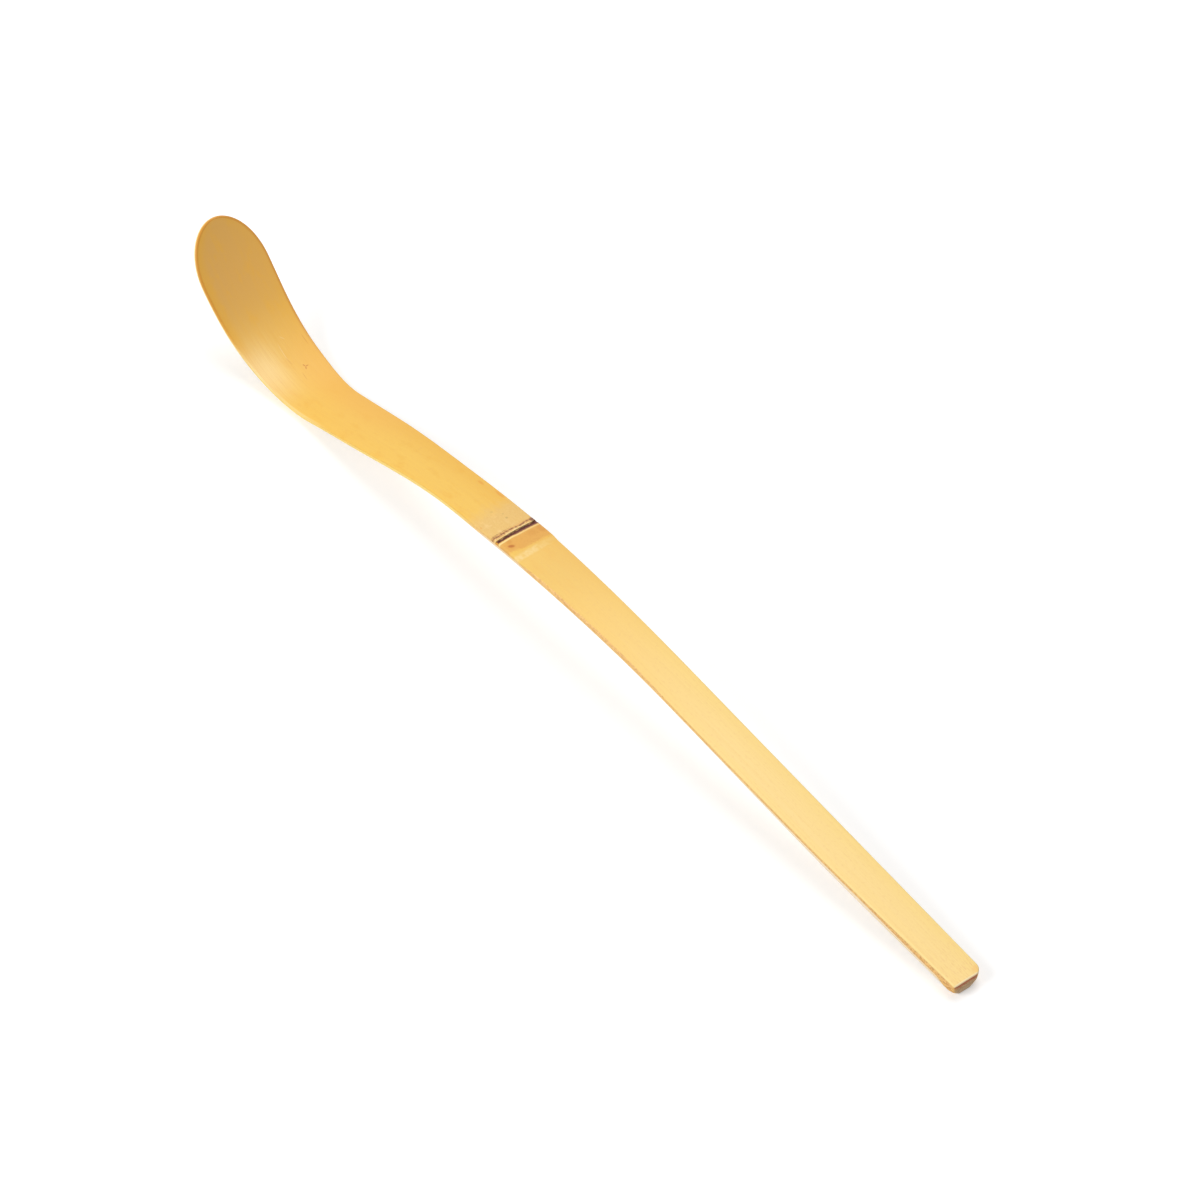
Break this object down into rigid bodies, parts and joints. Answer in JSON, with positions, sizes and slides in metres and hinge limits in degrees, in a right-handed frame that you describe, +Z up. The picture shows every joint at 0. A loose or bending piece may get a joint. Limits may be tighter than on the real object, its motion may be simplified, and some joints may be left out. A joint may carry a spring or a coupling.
{
  "type": "bamboo tea scoop",
  "caption": "Slender bamboo scoop for powdered tea: bent, dished tip, node ridge on an arched middle, straight grip with a cut butt.",
  "frame": {"origin": "on the table, under the middle of the scoop's length and width, as it lies with its hollow up", "axes": "+X along the scoop from its tip to its butt, +Y across it, +Z up out of its hollow"},
  "size_m": [0.1754, 0.0122, 0.0185],
  "materials": {
    "bamboo_flesh": "shaved, matt, fine lengthwise fibres",
    "node_wood": "shaved, matt, dense crossed fibres",
    "upper_skin": "polished satin, fine lengthwise fibres",
    "node_tissue": "satin, mottled",
    "scar_cork": "rough, corky, dark",
    "lower_skin": "polished satin, fine lengthwise fibres, waxy bloom at the node"
  },
  "bodies": {
    "root": {"handle_flesh": "bamboo_flesh", "node_flesh": "node_wood", "scoop_flesh": "bamboo_flesh", "handle_skin": "upper_skin", "node_band": "node_tissue", "sheath_scar": "scar_cork", "scoop_skin": "lower_skin"}
  },
  "joints": []
}
